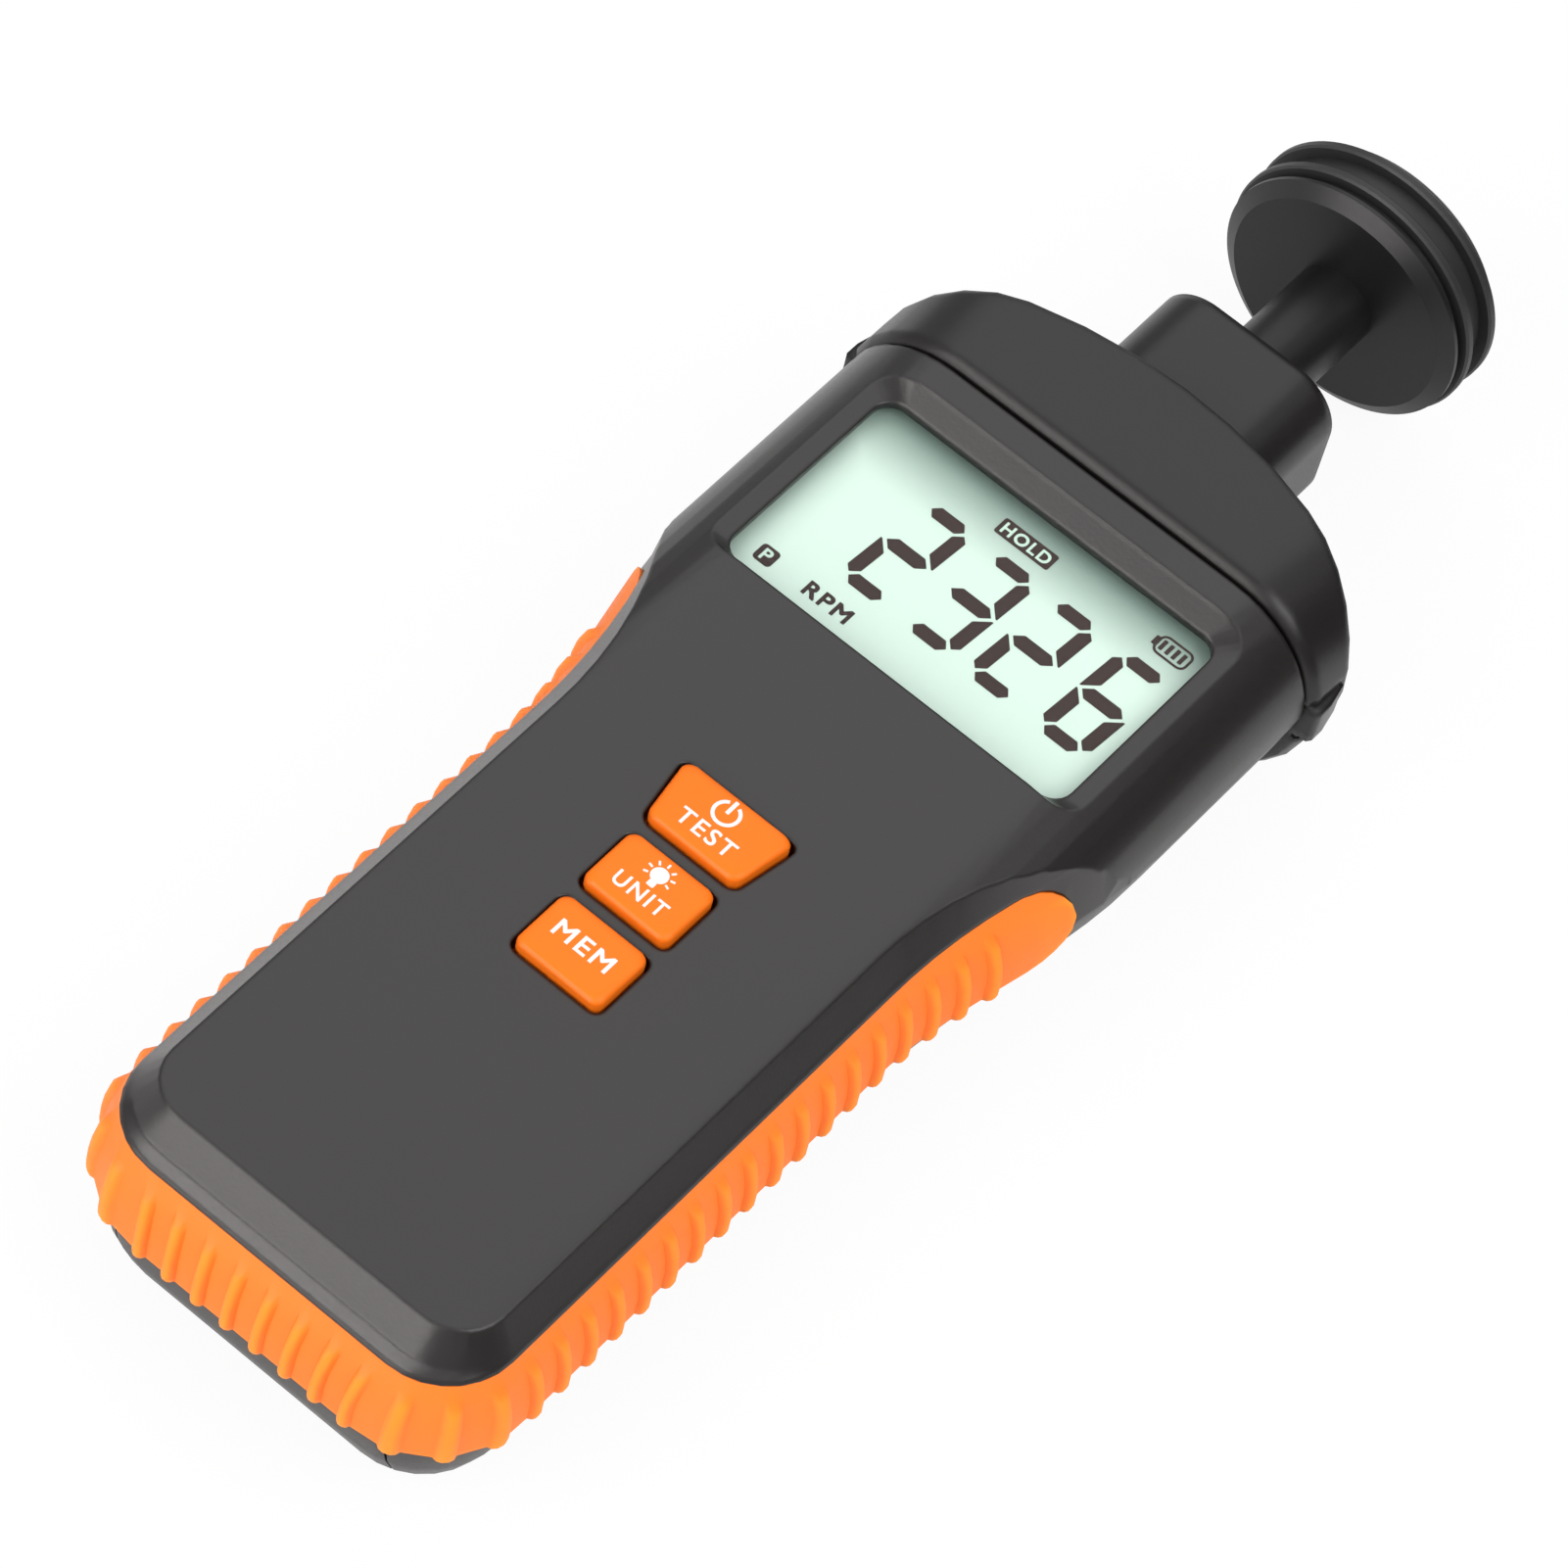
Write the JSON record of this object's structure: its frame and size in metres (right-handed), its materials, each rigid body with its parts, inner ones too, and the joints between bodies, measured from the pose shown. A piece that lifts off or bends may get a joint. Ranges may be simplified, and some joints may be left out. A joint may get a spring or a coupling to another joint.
{
  "type": "laser tachometer",
  "caption": "Handheld laser tachometer with display, orange keys, ribbed soft grip and a clip-on contact head that carries a surface-speed wheel on a spindle.",
  "frame": {"origin": "middle of the footprint, on the plane of the back that the meter lies on", "axes": "+Y along the handle towards the wheel, +Z out of the display face, +X to the right of the display"},
  "size_m": [0.0648, 0.1878, 0.0327],
  "materials": {
    "black_plastic": "fine satin texture",
    "dark_plastic": "satin",
    "orange_rubber": "soft matt",
    "orange_plastic": "smooth satin",
    "clear_window": "clear",
    "lcd_glass": "pale green reflective",
    "contact_rubber": "soft",
    "circuit_board": "solder mask",
    "switch_plastic": "satin",
    "screw_steel": "zinc plated",
    "shaft_steel": "ground",
    "contact_metal": "nickel plated",
    "brass": "turned",
    "reflector": "bright with a dark half",
    "cell_jacket": "printed foil, plain",
    "tyre_rubber": "moulded matt"
  },
  "bodies": {
    "housing": {"front_shell": "black_plastic", "rear_shell": "black_plastic", "grip_sleeve": "orange_rubber", "display_lens": "clear_window", "lcd_panel": "lcd_glass", "lcd_strips": "contact_rubber", "main_board": "circuit_board", "tact_switches": "switch_plastic", "case_screws": "screw_steel", "board_screws": "screw_steel", "battery_cells": "cell_jacket", "battery_contacts": "contact_metal", "front_bezel": "dark_plastic", "laser_module": "brass", "photo_sensor": "dark_plastic"},
    "power_button": {"power_key": "orange_plastic"},
    "unit_button": {"unit_key": "orange_plastic"},
    "memory_button": {"memory_key": "orange_plastic"},
    "cover": {"battery_cover": "black_plastic"},
    "adapter": {"contact_head": "black_plastic", "rear_bearing": "brass", "front_bearing": "brass"},
    "wheel": {"spindle": "shaft_steel", "reflector_disc": "reflector", "retaining_ring": "screw_steel", "wheel_hub": "dark_plastic", "drive_tyre": "tyre_rubber"}
  },
  "joints": [
    {"name": "power_press", "type": "slide", "parent": "housing", "child": "power_button", "axis": [0, 0, -1], "range_m": [0, 0.0008], "stiffness_N_per_m": 400},
    {"name": "unit_press", "type": "slide", "parent": "housing", "child": "unit_button", "axis": [0, 0, -1], "range_m": [0, 0.0008], "stiffness_N_per_m": 400},
    {"name": "memory_press", "type": "slide", "parent": "housing", "child": "memory_button", "axis": [0, 0, -1], "range_m": [0, 0.0008], "stiffness_N_per_m": 400},
    {"name": "cover_slide", "type": "slide", "parent": "housing", "child": "cover", "axis": [0, -1, 0], "range_m": [0, 0.062]},
    {"name": "adapter_pull", "type": "slide", "parent": "housing", "child": "adapter", "axis": [0, 1, 0], "range_m": [0, 0.03]},
    {"name": "wheel_spin", "type": "hinge", "parent": "adapter", "child": "wheel", "pos_m": [0, 0.07, 0.0168], "axis": [0, 1, 0], "continuous": true}
  ]
}
